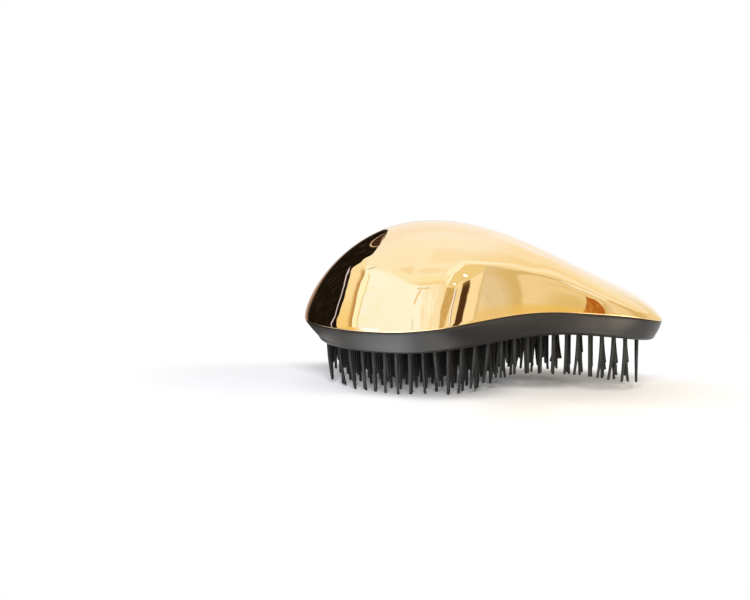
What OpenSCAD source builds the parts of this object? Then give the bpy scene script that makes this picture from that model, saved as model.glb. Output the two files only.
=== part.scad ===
// Palm-held detangling brush standing on its bristles.
// A hollow, mirror-finished top shell swells over a wide head and runs down
// to a narrow tail. It sits on a drafted rim frame whose upper and lower edges
// follow the same wave. Inside the frame a flexible pad rests on a narrow lip,
// a stiff backing plate presses it down, and six small screws hold the plate.
// The pad carries tapered bristles of three lengths.
// Millimetres. +X runs from head to tail, +Z is up, the brush is symmetric
// about y = 0, and the tips of the long head bristles rest on z = 0.

/* [Body] */
// Length over everything, head end to tail end
body_l = 140; // [128:1:152]
// Greatest width, across the head
body_w = 76; // [70:1:84]
// Height of the shell above the seam at its highest station
shell_rise = 41.5; // [37:0.5:46]
// Wall thickness of the shell
shell_wall = 2; // [1.6:0.1:2.6]
// Fullness of the shell's cross-section at the head, 2 is an ellipse
head_fullness = 2.2; // [2:0.1:2.6]
// Fullness of the shell's cross-section at the tail
tail_fullness = 2.6; // [2.2:0.1:3.2]

/* [Rim frame] */
// How far the frame's top edge stands back under the shell's edge
rim_step = 0.4; // [0.2:0.1:0.8]
// Width of the lip that the pad's margin rests on
lip_w = 1; // [0.8:0.1:1.4]
// Thickness of that lip
lip_t = 1.4; // [1.2:0.1:1.8]
// Height of the locating rib that stands up inside the shell
rib_h = 1.2; // [0.6:0.1:1.4]

/* [Pad and plate] */
// Thickness of the flexible bristle pad
pad_t = 2.4; // [2:0.1:2.8]
// Thickness of the stiff plate above the pad
plate_t = 2; // [1.6:0.1:2.2]
// Clearance between the plate's edge and the frame
plate_gap = 0.2; // [0.1:0.05:0.4]

/* [Bristles] */
// Diameter of a bristle where it leaves the pad
bristle_root_d = 1.5; // [1.3:0.1:1.7]
// Diameter of a bristle just above its rounded tip
bristle_tip_d = 1; // [0.8:0.1:1.2]
// Distance from one column of bristles to the next, along the tail
tail_pitch = 4.3; // [4.1:0.05:4.6]
// Distance from one column of bristles to the next, over waist and head
head_pitch = 4.8; // [4.6:0.05:5.4]
// Distance from one bristle to the next in a column, across the brush
row_pitch = 3.5; // [3.3:0.1:4.8]
// Distance from the seam outline to the outermost bristles
field_inset = 9.5; // [9.2:0.1:11]
// How much higher the medium bristles end than the long ones
medium_step = 3; // [2:0.25:4]
// How much higher the short bristles end than the long ones
short_step = 6; // [4.5:0.25:7]
// How much higher the long bristles end at the sides than on the centre line
crown = 2.5; // [1:0.25:3]

/* [Screws] */
// Thread diameter of the plate screws
screw_d = 1.9; // [1.6:0.1:2]
// Head diameter of the plate screws
screw_head_d = 3.5; // [3:0.1:3.6]

/* [Hidden] */

// Control values every 10 mm of a 140 mm body, from -80 to 80, for a uniform
// cubic spline: half-width, seam height, lower edge height, rise of the shell,
// inset of the lower edge, and height of the long bristles' tips.
W = [40, 40, 40, 40, 39.5, 39.2, 38.4, 35.6, 31.2, 27.6, 25.2, 24.4, 25.8, 28, 28.5, 28.5, 28.5];
S = [26, 25.5, 25.1, 24.6, 24.4, 24.5, 24.9, 25.9, 27.5, 29.6, 31.3, 32, 31.9, 31.5, 30.4, 27.8, 22.5];
E = [18.4, 17.8, 16.9, 16.3, 16, 16, 16.2, 16.9, 18.3, 20.2, 22, 23.1, 23.4, 22.9, 21.5, 19.2, 16];
H = [40.5, 40.5, 40.5, 41.4, 41.8, 41.7, 40.7, 38.8, 35.2, 30.3, 24.6, 19.5, 15.3, 12, 10.5, 10.5, 10.5];
I = [7, 6.6, 6, 5.4, 5, 4.8, 4.6, 4.5, 4.5, 4.5, 4.5, 4.5, 4.5, 4.4, 4.2, 3.8, 3.6];
T = [6, 5, 2, -0.5, -2.5, -3, -3, -3, -1.5, 4, 6, 5.8, 5.8, 5, 3.6, 2.5, 2];

function spl(t, u) = let (
    q = (min(80, max(-80, u)) + 80) / 10, i = min(14, max(1, floor(q))), f = q - i)
    (t[i - 1] * pow(1 - f, 3) + t[i] * (3 * pow(f, 3) - 6 * f * f + 4)
     + t[i + 1] * (-3 * pow(f, 3) + 3 * f * f + 3 * f + 1) + t[i + 2] * pow(f, 3)) / 6;

// u is the station on the 140 mm body, kx turns it into millimetres
kx = body_l / 140;
ky = body_w / 76;
kh = shell_rise / 41.5;

function ends(u) = max(0, 1 - pow(abs(u) / 70, u < 0 ? 3 : 4.5));
function half_w(u) = ky * spl(W, u) * sqrt(ends(u));
function seam(u) = spl(S, u);
function low(u) = spl(E, u);
function rise(u) = kh * spl(H, u) * pow(ends(u), 0.7);
function inset(u) = spl(I, u);
function blend(u) = let (t = min(1, max(0, (u + 35) / 70))) t * t * (3 - 2 * t);
function fullness(u) = head_fullness + (tail_fullness - head_fullness) * blend(u);

// the same body one wall thickness further in
inner = (70 * kx - shell_wall) / (70 * kx);
function inner_w(u) = (ky * spl(W, u * inner) - shell_wall) * sqrt(ends(u));
function inner_rise(u) = (kh * spl(H, u * inner) - shell_wall) * pow(ends(u), 0.7);

// outline of the seam by angle, its outward normal, and the outline moved in
function turn(a) = a - 360 * floor(a / 360);
function out_pt(a) = let (u = 70 * cos(a))
    [u * kx, half_w(u) * (turn(a) < 180 ? 1 : -1)];
function out_n(a) = let (d = out_pt(a + 1) - out_pt(a - 1)) [d[1], -d[0]] / norm(d);
function in_pt(a, d) = out_pt(a) - d * out_n(a);

// ---- top shell -------------------------------------------------------------
shell_n = 64;   // stations along the body
shell_m = 36;   // facets over the outside
shell_k = 20;   // facets over the inside

function arch(u, w, h, z, m, x) = let (p = 2 / fullness(u))
    [for (j = [0 : m]) let (c = cos(180 * j / m), s = sin(180 * j / m))
        [x, w * sign(c) * pow(abs(c), p), z + h * pow(max(0, s), p)]];

outer_pts = concat(
    [[-70 * kx, 0, seam(-70)]],
    [for (i = [1 : shell_n - 1]) let (u = -70 * cos(180 * i / shell_n))
        each arch(u, half_w(u), rise(u), seam(u), shell_m, u * kx)],
    [[70 * kx, 0, seam(70)]]);
inner_pts = concat(
    [[-70 * kx * inner, 0, seam(-70 * inner)]],
    [for (i = [1 : shell_n - 1]) let (u = -70 * cos(180 * i / shell_n))
        each arch(u, inner_w(u), inner_rise(u), seam(u * inner), shell_k, u * kx * inner)],
    [[70 * kx * inner, 0, seam(70 * inner)]]);

// index of point j of station i in a list whose rings have m + 1 points
function at(i, j, m) = i <= 0 ? 0 : i >= shell_n ? (shell_n - 1) * (m + 1) + 1
    : 1 + (i - 1) * (m + 1) + j;
function skin(m, o, flip) = [for (i = [0 : shell_n - 1]) for (j = [0 : m - 1]) let (
    a = o + at(i, j, m), b = o + at(i + 1, j, m), c = o + at(i + 1, j + 1, m), d = o + at(i, j + 1, m))
    each concat(
        i < shell_n - 1 ? [flip ? [a, c, b] : [a, b, c]] : [],
        i > 0 ? [flip ? [a, d, c] : [a, c, d]] : [])];
function edge_ring(m, k, o) = [for (i = [0 : shell_n - 1]) for (side = [0, 1]) let (
    a = at(i, side * m, m), b = at(i + 1, side * m, m),
    c = o + at(i + 1, side * k, k), d = o + at(i, side * k, k))
    each (side == 1 ? [[a, b, c], [a, c, d]] : [[a, c, b], [a, d, c]])];

module top_shell() {
    color([0.85, 0.62, 0.27])
    polyhedron(
        points = concat(outer_pts, inner_pts),
        faces = concat(
            skin(shell_m, 0, false),
            skin(shell_k, len(outer_pts), true),
            edge_ring(shell_m, shell_k, len(outer_pts))),
        convexity = 6);
}

// ---- rim frame -------------------------------------------------------------
rim_n = 120;
pad_edge = 2.4;             // from the lower edge's inset to the pad's edge
ledge = lip_t + pad_t;      // height of the plate's ledge above the lower edge
function plate_in(u) = max(3.8, inset(u) - 0.8);    // outline to the plate's pocket

// one cross-section: inset from the outline, height above the lower edge (0)
// or above the seam (1)
function rim_section(u) = let (
    e = inset(u), r = rib_h * min(1, max(0, (64 - abs(u)) / 12)))
    [[rim_step, 1, 0],
     [rim_step, 1, -0.5],
     [e - 1.05, 0, 1.8],
     [e - 0.6, 0, 0.85],
     [e + 0.2, 0, 0.25],
     [e + 1.2, 0, 0],
     [e + pad_edge + lip_w - 0.5, 0, 0],
     [e + pad_edge + lip_w, 0, 0.4],
     [e + pad_edge + lip_w, 0, lip_t],
     [e + pad_edge, 0, lip_t],
     [e + pad_edge, 0, ledge],
     [plate_in(u), 0, ledge],
     [plate_in(u), 1, -0.3],
     [shell_wall + 1.6, 1, 0.02 + r],
     [shell_wall + 0.3, 1, 0.02 + r],
     [shell_wall + 0.2, 1, 0]];
rim_m = len(rim_section(0));

function rim_ring(a) = [for (s = rim_section(70 * cos(a))) let (
    p = in_pt(a, s[0]), v = p[0] / kx)
    [p[0], p[1], (s[1] == 1 ? seam(v) : low(v)) + s[2]]];

module rim_frame() {
    color([0.13, 0.13, 0.13])
    polyhedron(
        points = [for (i = [0 : rim_n - 1]) each rim_ring(360 * i / rim_n)],
        faces = [for (i = [0 : rim_n - 1]) for (j = [0 : rim_m - 1]) let (
            i2 = (i + 1) % rim_n, j2 = (j + 1) % rim_m,
            a = i * rim_m + j, b = i2 * rim_m + j, c = i2 * rim_m + j2, d = i * rim_m + j2)
            each [[a, b, c], [a, c, d]]],
        convexity = 8);
}

// ---- pad and backing plate -------------------------------------------------
wave_n = 44;
// a slab bent to the lower edge's wave, from z0 to z1 above it, cut to the
// pad's outline (kind 0) or to the plate's (kind 1)
function slab_in(kind, u) = kind == 0 ? inset(u) + pad_edge + 0.15 : plate_in(u) + plate_gap;
module wavy_slab(kind, z0, z1) {
    intersection() {
        linear_extrude(height = 60)
            polygon([for (i = [0 : rim_n - 1]) let (a = 360 * i / rim_n)
                in_pt(a, slab_in(kind, 70 * cos(a)))]);
        rotate([90, 0, 0])
            linear_extrude(height = 120, center = true)
                polygon(concat(
                    [for (i = [0 : wave_n]) let (u = -70 + 140 * i / wave_n) [u * kx, low(u) + z0]],
                    [for (i = [wave_n : -1 : 0]) let (u = -70 + 140 * i / wave_n) [u * kx, low(u) + z1]]));
    }
}

module bristle_pad() {
    color([0.09, 0.09, 0.10])
        wavy_slab(0, lip_t, ledge);
}

// Stations of the screws along the body. Each stands close inside the plate's
// edge and leans with the wave, so that its head lies flat on the plate.
screw_u = [-50, -8, 40];
module at_screws() {
    for (u = screw_u) for (m = [0, 1]) let (
        p = in_pt(acos(u / 70), plate_in(u) + 2), v = p[0] / kx,
        lean = atan((low(v + 1) - low(v - 1)) / (2 * kx)))
        mirror([0, m, 0])
            translate([p[0], p[1], low(v) + ledge + plate_t])
                rotate([0, -lean, 0]) children();
}

module backing_plate() {
    color([0.22, 0.22, 0.23])
    difference() {
        wavy_slab(1, ledge, ledge + plate_t);
        at_screws() translate([0, 0, -plate_t - 1])
            cylinder(h = plate_t + 2, d = screw_d + 0.3, $fn = 32);
    }
}

module plate_screws() {
    color([0.62, 0.62, 0.64])
    at_screws() difference() {
        rotate_extrude($fn = 32) polygon([
            [0, -plate_t - 2.8], [0.35, -plate_t - 2.8], [screw_d / 2, -plate_t - 2.1],
            [screw_d / 2, 0.02], [screw_head_d / 2, 0.02], [screw_head_d / 2, 0.7],
            [screw_head_d / 2 - 0.35, 1.15], [screw_head_d / 2 - 0.9, 1.35], [0, 1.4]]);
        for (a = [0, 90]) rotate([0, 0, a])
            translate([-0.95, -0.22, 0.7]) cube([1.9, 0.44, 1]);
    }
}

// ---- bristles --------------------------------------------------------------
tail_u = 60.5;              // station of the last column
tail_cols = 6;              // columns behind it at the tail's pitch
cols = 26;
root_in = 1.2;              // how deep a root reaches into the pad

function field_w(u) = (ky * spl(W, u) - field_inset) * sqrt(ends(u * (u < 0 ? 70 / 60.5 : 70 / 61.2)));
function tip_z(u, y) = max(0, spl(T, u) + crown * pow(y / (ky * spl(W, u) - field_inset), 2));
// tier 0, 1 or 2: long, medium or short; the outermost in a column is long
function tier(c, r, last) = last ? 0 : (r + c) % 3;

function col_u(c) = tail_u - (tail_pitch * min(c, tail_cols)
    + head_pitch * max(0, c - tail_cols)) / kx;

function column(c) = let (
    u = col_u(c), off = c % 2 == 0 ? 0.5 : 0,
    n = floor(field_w(u) / row_pitch - off))
    n < 0 && off > 0 ? [] : [for (r = [0 : n]) for (side = (off == 0 && r == 0) ? [1] : [-1, 1])
        [u, side * (r + off) * row_pitch, tier(c, r, r == n)]];

all_bristles = [for (c = [0 : cols - 1]) if (abs(col_u(c)) < 60.6)
    each column(c)];

module bristle(l) {
    r0 = bristle_root_d / 2;
    r1 = bristle_tip_d / 2;
    rotate_extrude($fn = 24) polygon([
        [0, 0], [r1 * 0.55, 0.08], [r1 * 0.88, 0.26], [r1, 0.55],
        [r0, l], [0, l]]);
}

module bristles(t) {
    for (b = all_bristles) if (b[2] == t) {
        z = tip_z(b[0], b[1]) + (t == 1 ? medium_step : t == 2 ? short_step : 0);
        translate([b[0] * kx, b[1], z]) bristle(low(b[0]) + lip_t + root_in - z);
    }
}

module long_bristles() color([0.12, 0.12, 0.12]) bristles(0);
module medium_bristles() color([0.14, 0.14, 0.14]) bristles(1);
module short_bristles() color([0.16, 0.16, 0.16]) bristles(2);

top_shell();
rim_frame();
backing_plate();
bristle_pad();
long_bristles();
medium_bristles();
short_bristles();
plate_screws();
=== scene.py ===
import bpy
import math
import numpy as np
from mathutils import Matrix, Vector


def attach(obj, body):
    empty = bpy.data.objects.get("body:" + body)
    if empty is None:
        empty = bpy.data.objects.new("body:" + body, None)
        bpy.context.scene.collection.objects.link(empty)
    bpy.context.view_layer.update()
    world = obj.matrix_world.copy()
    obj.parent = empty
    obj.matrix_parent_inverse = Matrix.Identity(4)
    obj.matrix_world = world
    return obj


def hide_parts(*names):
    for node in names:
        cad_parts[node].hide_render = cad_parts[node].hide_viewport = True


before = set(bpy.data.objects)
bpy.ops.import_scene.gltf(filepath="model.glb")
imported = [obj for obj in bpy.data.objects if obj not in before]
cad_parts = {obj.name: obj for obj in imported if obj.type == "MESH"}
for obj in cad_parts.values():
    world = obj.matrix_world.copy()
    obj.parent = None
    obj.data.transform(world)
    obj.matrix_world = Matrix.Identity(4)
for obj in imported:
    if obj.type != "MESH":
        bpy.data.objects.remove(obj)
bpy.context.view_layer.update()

MM = 0.001

# ---------------------------------------------------------------------------
# The body's shape, by the same rules as the construction. Millimetres here.
# ---------------------------------------------------------------------------
W = [40, 40, 40, 40, 39.5, 39.2, 38.4, 35.6, 31.2, 27.6, 25.2, 24.4, 25.8, 28, 28.5, 28.5, 28.5]
S = [26, 25.5, 25.1, 24.6, 24.4, 24.5, 24.9, 25.9, 27.5, 29.6, 31.3, 32, 31.9, 31.5, 30.4, 27.8, 22.5]
E = [18.4, 17.8, 16.9, 16.3, 16, 16, 16.2, 16.9, 18.3, 20.2, 22, 23.1, 23.4, 22.9, 21.5, 19.2, 16]
H = [40.5, 40.5, 40.5, 41.4, 41.8, 41.7, 40.7, 38.8, 35.2, 30.3, 24.6, 19.5, 15.3, 12, 10.5, 10.5, 10.5]
I = [7, 6.6, 6, 5.4, 5, 4.8, 4.6, 4.5, 4.5, 4.5, 4.5, 4.5, 4.5, 4.4, 4.2, 3.8, 3.6]
T = [6, 5, 2, -0.5, -2.5, -3, -3, -3, -1.5, 4, 6, 5.8, 5.8, 5, 3.6, 2.5, 2]
WALL = 2.0
LIP_T, PAD_T, PAD_EDGE, LIP_W, RIB_H = 1.4, 2.4, 2.4, 1.0, 1.2
LEDGE = LIP_T + PAD_T
INNER = (70 - WALL) / 70


def spl(t, u):
    t = np.asarray(t, float)
    q = (np.clip(np.asarray(u, float), -80, 80) + 80) / 10
    i = np.clip(np.floor(q).astype(int), 1, 14)
    f = q - i
    return (t[i - 1] * (1 - f) ** 3 + t[i] * (3 * f ** 3 - 6 * f * f + 4)
            + t[i + 1] * (-3 * f ** 3 + 3 * f * f + 3 * f + 1) + t[i + 2] * f ** 3) / 6


def ends(u):
    u = np.asarray(u, float)
    return np.clip(1 - np.abs(u / 70) ** np.where(u < 0, 3.0, 4.5), 0, 1)


def half_w(u): return spl(W, u) * np.sqrt(ends(u))
def seam(u): return spl(S, u)
def low(u): return spl(E, u)
def rise(u): return spl(H, u) * ends(u) ** 0.7
def inset(u): return spl(I, u)
def inner_w(u): return (spl(W, np.asarray(u) * INNER) - WALL) * np.sqrt(ends(u))
def inner_rise(u): return (spl(H, np.asarray(u) * INNER) - WALL) * ends(u) ** 0.7


def fullness(u):
    t = np.clip((np.asarray(u, float) + 35) / 70, 0, 1)
    return 2.2 + 0.4 * t * t * (3 - 2 * t)


def out_pt(a):
    u = 70 * np.cos(a)
    return np.stack([u, half_w(u) * np.where(np.sin(a) >= 0, 1.0, -1.0)], -1)


def out_n(a):
    d = out_pt(a + math.radians(1)) - out_pt(a - math.radians(1))
    n = np.stack([d[..., 1], -d[..., 0]], -1)
    return n / np.linalg.norm(n, axis=-1, keepdims=True)


def in_pt(a, d):
    return out_pt(a) - np.asarray(d)[..., None] * out_n(a)


def section(t, f, e=0.06):
    """Height of the cross-section, 0 to 1, at the share t of its half-width. Its curvature stays even over the crown."""
    s = np.clip(t * t, 0, 1)
    g = ((s + e) ** (f / 2) - e ** (f / 2)) / ((1 + e) ** (f / 2) - e ** (f / 2))
    return np.clip(1 - g, 0, 1) ** (1 / f)


def add_mesh(name, points, faces, smooth=True, sharp=None):
    """points in millimetres, faces as lists of indices."""
    mesh = bpy.data.meshes.new(name)
    mesh.from_pydata((np.asarray(points, float) * MM).tolist(), [], faces)
    mesh.validate()
    mesh.update()
    if smooth:
        mesh.polygons.foreach_set("use_smooth", np.ones(len(mesh.polygons), bool))
    if sharp is not None:
        mesh.set_sharp_from_angle(angle=math.radians(sharp))
    piece = bpy.data.objects.new(name, mesh)
    bpy.context.scene.collection.objects.link(piece)
    return piece


def band_faces(first, second, n, flip=False):
    """Quads between two closed rings of n points."""
    faces = []
    for k in range(n):
        k2 = (k + 1) % n
        q = [first + k, first + k2, second + k2, second + k]
        faces.append(q[::-1] if flip else q)
    return faces


def fan_faces(centre, ring, n, flip=False):
    return [[centre, ring + (k + 1) % n, ring + k] if flip else [centre, ring + k, ring + (k + 1) % n]
            for k in range(n)]


# ---------------------------------------------------------------------------
# Top shell: one closed skin, outer face, rolled lower edge and inner face
# ---------------------------------------------------------------------------
def build_shell():
    n, outer_rings, inner_rings, roll = 384, 104, 30, 0.5
    a = 2 * math.pi * (np.arange(n) + 0.5) / n
    edge = out_pt(a)
    points, faces = [], []

    # crown point, then rings out to the seam
    z0 = seam(0.0) + rise(0.0)
    points.append(np.array([[0, 0, float(z0)]]))
    starts = []
    count = 1
    for i in range(1, outer_rings + 1):
        r = math.sin(math.pi / 2 * i / outer_rings)
        x, y = edge[:, 0] * r, edge[:, 1] * r
        w = np.maximum(half_w(x), 1e-6)
        h = rise(x)
        up = h * section(np.clip(np.abs(y) / w, 0, 1), fullness(x)) if i < outer_rings else 0 * x
        # the lowest half millimetre makes room for the rolled edge
        z = seam(x) + up + roll * (1 - up / np.maximum(h, 1.0)).clip(0, 1)
        points.append(np.stack([x, y, z], -1))
        starts.append(count)
        count += n
    # rolled lower edge
    for k in range(1, 6):
        b = math.pi / 2 * k / 5
        p = in_pt(a, np.full(n, roll * (1 - math.cos(b))))
        points.append(np.stack([p[:, 0], p[:, 1], seam(p[:, 0]) + roll * (1 - math.sin(b))], -1))
        starts.append(count)
        count += n
    outer_last = len(starts)
    # inner face, from the edge up to its own crown point
    for i in range(inner_rings, 0, -1):
        r = math.sin(math.pi / 2 * i / inner_rings)
        u = edge[:, 0] * r
        w = np.maximum(inner_w(u), 1e-6)
        y = inner_w(edge[:, 0]) * np.sign(edge[:, 1]) * r
        up = inner_rise(u) * section(np.clip(np.abs(y) / w, 0, 1), fullness(u)) if i < inner_rings else 0 * u
        points.append(np.stack([u * INNER, y, seam(u * INNER) + up], -1))
        starts.append(count)
        count += n
    points.append(np.array([[0, 0, float(seam(0.0) + inner_rise(0.0))]]))
    faces += fan_faces(0, starts[0], n)
    for i in range(len(starts) - 1):
        faces += band_faces(starts[i], starts[i + 1], n, flip=True)
    faces += fan_faces(count, starts[-1], n, flip=True)
    points = np.concatenate(points)
    points[:, 1] = np.clip(points[:, 1], -37.848, 37.848)
    points[:, 2] = np.minimum(points[:, 2], 64.904)
    return add_mesh("shell", points, faces, sharp=50)


# ---------------------------------------------------------------------------
# Rim frame: a drafted band with eased edges, its lip, ledge and locating rib
# ---------------------------------------------------------------------------
def rim_profile(u):
    """[inset, height base, height] around the section at stations u. Base 0 is the lower edge, 1 is the seam."""
    e = inset(u)
    r = RIB_H * np.clip((64 - np.abs(u)) / 12, 0, 1)
    plate_in = np.maximum(3.8, e - 0.8)
    one = np.ones_like(u)
    pts = []

    def add(d, zs, zl, dz):
        """zs and zl share the height between seam and lower edge."""
        pts.append((d * one, zs * one, zl * one, dz * one))

    ease = 0.5
    for k in range(0, 5):
        b = math.pi / 2 * k / 4
        add(0.4 + ease * (1 - math.sin(b)), 1, 0, -ease * (1 - math.cos(b)) - 0.03)
    # drafted wall, very slightly bowed outwards
    wall_top, wall_end = 0.4, e - 1.15
    steps = 9
    for k in range(1, steps + 1):
        t = k / steps
        bow = 0.22 * 4 * t * (1 - t)
        add(wall_top + (wall_end - wall_top) * t - bow, 1 - t, t, -0.53 * (1 - t) + 1.95 * t)
    # eased lower corner
    corner = [(-1.15, 1.95), (-0.92, 1.42), (-0.62, 0.96), (-0.2, 0.56), (0.35, 0.26), (0.95, 0.07), (1.6, 0.0)]
    for d, z in corner[1:]:
        add(e + d, 0, 1, z)
    add(e + 2.6, 0, 1, 0.0)
    add(e + 3.02, 0, 1, 0.04)
    add(e + 3.28, 0, 1, 0.18)
    add(e + 3.4, 0, 1, 0.42)
    add(e + 3.4, 0, 1, LIP_T - 0.12)
    add(e + 3.3, 0, 1, LIP_T)
    add(e + PAD_EDGE, 0, 1, LIP_T)
    add(e + PAD_EDGE, 0, 1, LEDGE)
    add(plate_in, 0, 1, LEDGE)
    add(plate_in, 1, 0, -0.3)
    add(WALL + 1.6, 1, 0, 0.02 + r)
    add(WALL + 0.5, 1, 0, 0.02 + r)
    add(WALL + 0.3, 1, 0, -0.06 + r)
    add(WALL + 0.2, 1, 0, -0.03)
    return pts


def build_rim():
    n = 420
    a = 2 * math.pi * (np.arange(n) + 0.5) / n
    u = 70 * np.cos(a)
    rings = []
    for d, zs, zl, dz in rim_profile(u):
        p = in_pt(a, d)
        z = zs * seam(p[:, 0]) + zl * low(p[:, 0]) + dz
        rings.append(np.stack([p[:, 0], p[:, 1], z], -1))
    faces = []
    m = len(rings)
    for i in range(m):
        faces += band_faces(i * n, ((i + 1) % m) * n, n, flip=True)
    return add_mesh("rim", np.concatenate(rings), faces, sharp=38)


# ---------------------------------------------------------------------------
# Bristle pad: crowned, with a groove round its margin
# ---------------------------------------------------------------------------
def pad_outline(a):
    return in_pt(a, inset(70 * np.cos(a)) + PAD_EDGE + 0.15)


def pad_under(x, y, r):
    """Height of the pad's underside, r from 0 at the middle to 1 at its edge."""
    crown = 0.55 * np.clip(1 - (r / 0.9) ** 2, 0, 1) ** 0.8
    groove = 0.35 * np.exp(-((r - 0.925) / 0.012) ** 2)
    return low(x) + LIP_T - crown + groove


def build_pad():
    n = 240
    a = 2 * math.pi * (np.arange(n) + 0.5) / n
    edge = pad_outline(a)
    radii = np.concatenate([np.linspace(0.04, 0.84, 28), np.linspace(0.86, 0.985, 22), [0.995, 1.0]])
    points = [np.array([[0, 0, float(pad_under(0.0, 0.0, 0.0))]])]
    starts, count = [], 1
    for r in radii:
        x, y = edge[:, 0] * r, edge[:, 1] * r
        z = pad_under(x, y, r) + (0.12 if r == 1.0 else 0.02 if r > 0.99 else 0)
        points.append(np.stack([x, y, z], -1))
        starts.append(count)
        count += n
    for r in [1.0, 0.995, 0.9, 0.6, 0.3]:
        x, y = edge[:, 0] * r, edge[:, 1] * r
        z = low(x) + LEDGE - (0.14 if r == 1.0 else 0.02)
        points.append(np.stack([x, y, z], -1))
        starts.append(count)
        count += n
    points.append(np.array([[0, 0, float(low(0.0)) + LEDGE - 0.02]]))
    faces = fan_faces(0, starts[0], n, flip=True)
    for i in range(len(starts) - 1):
        faces += band_faces(starts[i], starts[i + 1], n)
    faces += fan_faces(count, starts[-1], n)
    return add_mesh("pad", np.concatenate(points), faces, sharp=50)


# ---------------------------------------------------------------------------
# Bristles
# ---------------------------------------------------------------------------
TAIL_U, TAIL_COLS, COLS = 60.5, 6, 26
TAIL_PITCH, HEAD_PITCH, ROW_PITCH, FIELD_INSET, CROWN = 4.3, 4.8, 3.5, 9.5, 2.5


def col_u(c): return TAIL_U - TAIL_PITCH * min(c, TAIL_COLS) - HEAD_PITCH * max(0, c - TAIL_COLS)


def field_w(u):
    return float((spl(W, u) - FIELD_INSET) * np.sqrt(ends(u * (70 / 60.5 if u < 0 else 70 / 61.2))))


def bristle_list():
    """(column, row, side, u, y, tier) of every bristle. Tier 0 is long, 1 medium, 2 short."""
    found = []
    for c in range(COLS):
        u = col_u(c)
        if abs(u) >= 60.6:
            continue
        off = 0.5 if c % 2 == 0 else 0.0
        n = math.floor(field_w(u) / ROW_PITCH - off)
        for r in range(0, n + 1):
            for side in ([1] if off == 0 and r == 0 else [-1, 1]):
                tier = 0 if r == n else (r + c) % 3
                found.append((c, r, side, u, side * (r + off) * ROW_PITCH, tier, r == n))
    return found


# how far the tips of the outermost bristles on the near side have drifted
# along the body, by column from the tail, in millimetres
NEAR_DRIFT = {0: 0.1, 1: -1.0, 2: -1.7, 3: -1.3, 4: 0.0, 5: -1.3, 6: -0.6, 7: -0.5, 8: 0.0, 9: 0.3,
              10: 0.2, 11: -0.2, 12: -1.8, 13: -1.4, 14: -1.0, 15: 0.3, 16: 1.8, 17: 1.1, 18: 0.7,
              19: 0.9, 20: 0.6, 21: 1.0, 22: 1.6, 23: 2.4, 24: 2.6, 25: 1.5}


HEAD_END = {23: -0.5, 24: -1.2, 25: -2.2}


def build_bristles():
    rng = np.random.RandomState(11)
    segs = 12
    around = 2 * math.pi * np.arange(segs) / segs
    ring = np.stack([np.cos(around), np.sin(around)], -1)
    tiers = {0: ([], []), 1: ([], []), 2: ([], [])}
    pad_a = np.linspace(0, 2 * math.pi, 721)
    edge = pad_outline(pad_a)
    edge_dir = np.arctan2(edge[:, 1], edge[:, 0])
    edge_len = np.hypot(edge[:, 0], edge[:, 1])
    order = np.argsort(edge_dir)
    for c, r, side, u, y, tier, last in bristle_list():
        wide = float(spl(W, u)) - FIELD_INSET
        z_tip = max(0.0, float(spl(T, u)) + CROWN * (y / wide) ** 2) + (0, 3.0, 6.0)[tier]
        share = math.hypot(u, y) / np.interp(math.atan2(y, u), edge_dir[order], edge_len[order], period=2 * math.pi)
        z_pad = float(pad_under(u, y, share))
        # where the tip has gone to
        dx, dy = rng.normal(0, 0.30), rng.normal(0, 0.28)
        near = side == -1 and last
        if near:
            dx = NEAR_DRIFT.get(c, 0.0) + 0.2 * dx
            dy *= 0.4
            if c == 16:
                z_tip += 3.2
        elif c <= 6:
            dx = (1.25 if c in (1, 2, 3, 5) else 0.55) * (1 if (r + (side > 0)) % 2 == 0 else 0.3) + 0.6 * dx
        elif last:
            dx, dy = 1.6 * dx, 0.5 * dy + 0.25 * side
        if c > 6 and not near and c >= 20:
            dx += 0.5
        if 7 <= c <= 12 and not near:
            dx += 1.5 * (rng.rand() - 0.5) + (0.7 if r % 2 else -0.7)
        if 8 <= c <= 11 and not near:
            u += 1.2 * ((r + 2 * (side > 0) + c) % 3 - 1)
        u += HEAD_END.get(c, 0.0)
        bend = 1.5 + 0.5 * rng.rand()
        length = z_pad - z_tip
        r0, r1 = 0.75 * (1 + 0.03 * rng.normal()), 0.5 * (1 + 0.04 * rng.normal())
        # stations down the bristle: (height above the tip, radius)
        rows = [(length + 0.9, 1.0), (length + 0.05, 1.32), (length - 0.12, 1.16), (length - 0.35, 0.99),
                (length - 0.7, 0.86), (length - 1.2, 0.79), (length - 2.2, r0)]
        body = max(length - 2.2, 1.0)
        for k in range(1, 8):
            t = k / 8
            rows.append((body * (1 - t) + 0.5 * t, r0 + (r1 - r0) * t))
        rows += [(0.5, r1), (0.3, r1 * 0.93), (0.15, r1 * 0.79), (0.05, r1 * 0.56), (0.008, r1 * 0.26)]
        points, faces = tiers[tier]
        base = len(points)
        for h, rad in rows:
            s = np.clip((length - h) / length, 0, 1)
            x0, y0 = u + dx * s ** bend, y + dy * s ** bend
            for cx, cy in ring:
                points.append((x0 + rad * cx, y0 + rad * cy, z_tip + h))
        points.append((u + dx, y + dy, z_tip))
        points.append((u, y, z_tip + rows[0][0]))
        tip, root = len(points) - 2, len(points) - 1
        m = len(rows)
        for i in range(m - 1):
            for k in range(segs):
                k2 = (k + 1) % segs
                faces.append([base + i * segs + k, base + (i + 1) * segs + k,
                              base + (i + 1) * segs + k2, base + i * segs + k2])
        for k in range(segs):
            k2 = (k + 1) % segs
            faces.append([tip, base + (m - 1) * segs + k2, base + (m - 1) * segs + k])
            faces.append([root, base + k, base + k2])
    names = {0: "bristles_long", 1: "bristles_medium", 2: "bristles_short"}
    return {t: add_mesh(names[t], p, f, sharp=60) for t, (p, f) in tiers.items()}


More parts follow.
